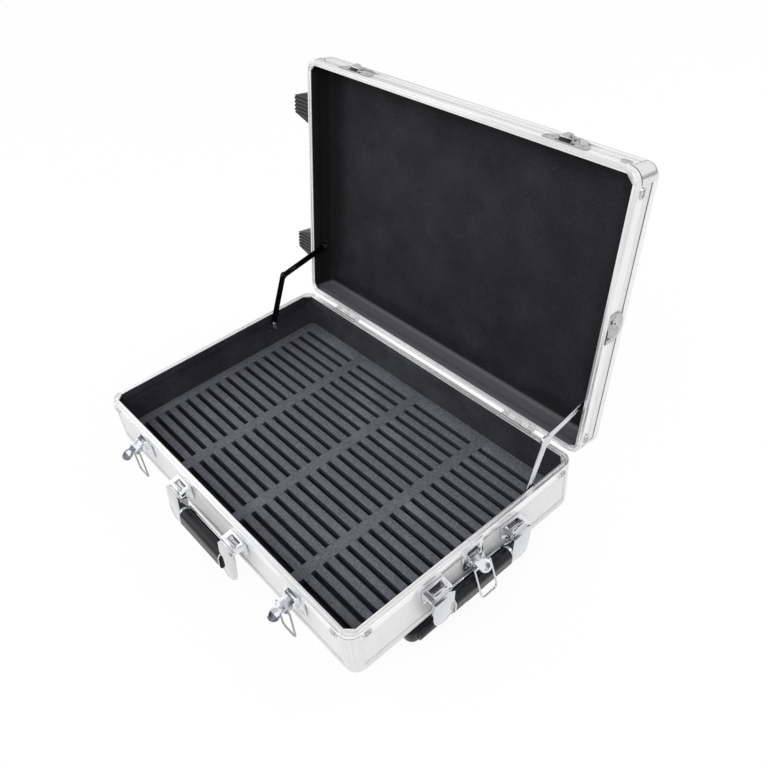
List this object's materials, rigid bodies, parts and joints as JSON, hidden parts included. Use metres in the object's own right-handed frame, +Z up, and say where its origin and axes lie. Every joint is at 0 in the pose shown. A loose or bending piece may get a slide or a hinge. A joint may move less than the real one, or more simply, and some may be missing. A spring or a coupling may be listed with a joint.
{
  "type": "sample case",
  "caption": "Aluminium sample case with its lid open, slotted foam tray, draw latches, carry handles, wheels and a telescopic pull handle.",
  "frame": {"origin": "Centre of the underside of the strap across the tubes, under the middle of the base, on the ground the case lies on.", "axes": "X along the case's long side, left to right seen from the front latches; Y from front to back, where the lid is hinged; Z up."},
  "size_m": [0.5559, 0.4527, 0.4226],
  "materials": {
    "satin_aluminium": "satin extruded rims, edges and tubes",
    "brushed_panel": "pale brushed wall sheets",
    "chrome": "bright plated steel hardware",
    "lining": "dark grained sheet lining",
    "foam": "firm matt foam",
    "black_plastic": "black satin moulded plastic",
    "grey_plastic": "dark ribbed plastic",
    "tyre": "black rubber wheels"
  },
  "bodies": {
    "base": {"base_floor": "brushed_panel", "base_front_panel": "brushed_panel", "base_right_panel": "brushed_panel", "base_back_panel": "brushed_panel", "base_left_panel": "brushed_panel", "base_rim": "satin_aluminium", "base_edges": "satin_aluminium", "base_corners": "satin_aluminium", "base_rim_clips": "chrome", "base_lining": "lining", "tray_base": "foam", "tray_bands": "foam", "tray_ribs": "foam", "hinge_base_leaves": "chrome", "hinge_pins": "chrome", "latch_plates": "chrome", "front_handle_brackets": "chrome", "side_handle_brackets": "chrome", "stay_base_plates": "chrome", "base_screws": "chrome", "outer_tubes": "satin_aluminium", "tube_end_blocks": "black_plastic", "wheel_housings": "black_plastic", "wheel_axles": "chrome", "rest_pads": "black_plastic"},
    "lid": {"lid_top": "brushed_panel", "lid_front_panel": "brushed_panel", "lid_right_panel": "brushed_panel", "lid_back_panel": "brushed_panel", "lid_left_panel": "brushed_panel", "lid_rim": "satin_aluminium", "lid_edges": "satin_aluminium", "lid_corners": "satin_aluminium", "lid_rim_clips": "chrome", "lid_lining": "lining", "latch_keepers": "chrome", "standing_feet": "grey_plastic", "hinge_lid_leaves": "chrome", "stay_lid_plates": "chrome", "lid_screws": "chrome"},
    "front_left_lever": {"front_left_lever": "chrome"},
    "front_right_lever": {"front_right_lever": "chrome"},
    "side_lever": {"side_lever": "chrome"},
    "front_left_bail": {"front_left_bail": "chrome"},
    "front_right_bail": {"front_right_bail": "chrome"},
    "side_bail": {"side_bail": "chrome"},
    "front_handle": {"front_handle_arms": "chrome", "front_handle_grip": "black_plastic"},
    "side_handle": {"side_handle_arms": "chrome", "side_handle_grip": "black_plastic"},
    "left_lower_stay": {"left_lower_stay": "chrome"},
    "left_upper_stay": {"left_upper_stay": "chrome"},
    "right_lower_stay": {"right_lower_stay": "chrome"},
    "right_upper_stay": {"right_upper_stay": "chrome"},
    "middle_tubes": {"middle_tubes": "satin_aluminium"},
    "pull_handle": {"inner_tubes": "satin_aluminium", "pull_grip": "black_plastic"},
    "release_button": {"release_button": "grey_plastic"},
    "front_wheel": {"front_wheel": "tyre"},
    "rear_wheel": {"rear_wheel": "tyre"}
  },
  "joints": [
    {"name": "lid_hinge", "type": "hinge", "parent": "base", "child": "lid", "pos_m": [0, 0.1658, 0.08967], "axis": [1, 0, 0], "range_deg": [0, 98.62]},
    {"name": "front_left_lever_pin", "type": "hinge", "parent": "base", "child": "front_left_lever", "pos_m": [-0.157, -0.1685, 0.072], "axis": [1, 0, 0], "range_deg": [0, 72.5]},
    {"name": "front_left_bail_pin", "type": "hinge", "parent": "front_left_lever", "child": "front_left_bail", "pos_m": [-0.157, -0.17806, 0.06901], "axis": [-1, 0, 0], "range_deg": [0, 249.8]},
    {"name": "front_right_lever_pin", "type": "hinge", "parent": "base", "child": "front_right_lever", "pos_m": [0.157, -0.1685, 0.072], "axis": [1, 0, 0], "range_deg": [0, 72.5]},
    {"name": "front_right_bail_pin", "type": "hinge", "parent": "front_right_lever", "child": "front_right_bail", "pos_m": [0.157, -0.17806, 0.06901], "axis": [-1, 0, 0], "range_deg": [0, 249.8]},
    {"name": "side_lever_pin", "type": "hinge", "parent": "base", "child": "side_lever", "pos_m": [0.251, 0, 0.072], "axis": [0, 1, 0], "range_deg": [0, 72.5]},
    {"name": "side_bail_pin", "type": "hinge", "parent": "side_lever", "child": "side_bail", "pos_m": [0.26056, 0, 0.06901], "axis": [0, -1, 0], "range_deg": [0, 234.06]},
    {"name": "front_handle_pins", "type": "hinge", "parent": "base", "child": "front_handle", "pos_m": [0, -0.1755, 0.075], "axis": [-1, 0, 0], "range_deg": [-12, 84]},
    {"name": "side_handle_pins", "type": "hinge", "parent": "base", "child": "side_handle", "pos_m": [0.258, 0, 0.075], "axis": [0, -1, 0], "range_deg": [0, 90]},
    {"name": "left_lower_stay_pin", "type": "hinge", "parent": "base", "child": "left_lower_stay", "pos_m": [-0.2372, 0.08945, 0.0765], "axis": [1, 0, 0], "range_deg": [0, 98.62]},
    {"name": "left_elbow_pin", "type": "hinge", "parent": "left_lower_stay", "child": "left_upper_stay", "pos_m": [-0.2355, 0.12032, 0.14449], "axis": [1, 0, 0], "range_deg": [-98.62, 0]},
    {"name": "right_lower_stay_pin", "type": "hinge", "parent": "base", "child": "right_lower_stay", "pos_m": [0.2372, 0.08945, 0.0765], "axis": [1, 0, 0], "range_deg": [0, 98.62]},
    {"name": "right_elbow_pin", "type": "hinge", "parent": "right_lower_stay", "child": "right_upper_stay", "pos_m": [0.2355, 0.12032, 0.14449], "axis": [1, 0, 0], "range_deg": [-98.62, 0]},
    {"name": "middle_tubes_slide", "type": "slide", "parent": "base", "child": "middle_tubes", "axis": [1, 0, 0], "range_m": [0, 0.32]},
    {"name": "pull_handle_slide", "type": "slide", "parent": "middle_tubes", "child": "pull_handle", "axis": [1, 0, 0], "range_m": [0, 0.32]},
    {"name": "release_button_slide", "type": "slide", "parent": "pull_handle", "child": "release_button", "axis": [-1, 0, 0], "range_m": [0, 0.003], "stiffness_N_per_m": 300},
    {"name": "front_wheel_axle", "type": "hinge", "parent": "base", "child": "front_wheel", "pos_m": [-0.2655, -0.0975, 0.0185], "axis": [0, 1, 0], "continuous": true},
    {"name": "rear_wheel_axle", "type": "hinge", "parent": "base", "child": "rear_wheel", "pos_m": [-0.2655, 0.0975, 0.0185], "axis": [0, 1, 0], "continuous": true}
  ],
  "couplings": [
    {"joint": "front_left_bail_pin", "follows": "front_left_lever_pin", "ratio": 3.4456},
    {"joint": "front_right_bail_pin", "follows": "front_right_lever_pin", "ratio": 3.4456},
    {"joint": "side_lever_pin", "follows": "side_handle_pins", "ratio": 0.80556},
    {"joint": "side_bail_pin", "follows": "side_handle_pins", "ratio": 2.6006},
    {"joint": "left_lower_stay_pin", "follows": "lid_hinge", "ratio": 1},
    {"joint": "left_elbow_pin", "follows": "lid_hinge", "ratio": -1},
    {"joint": "right_lower_stay_pin", "follows": "lid_hinge", "ratio": 1},
    {"joint": "right_elbow_pin", "follows": "lid_hinge", "ratio": -1}
  ]
}
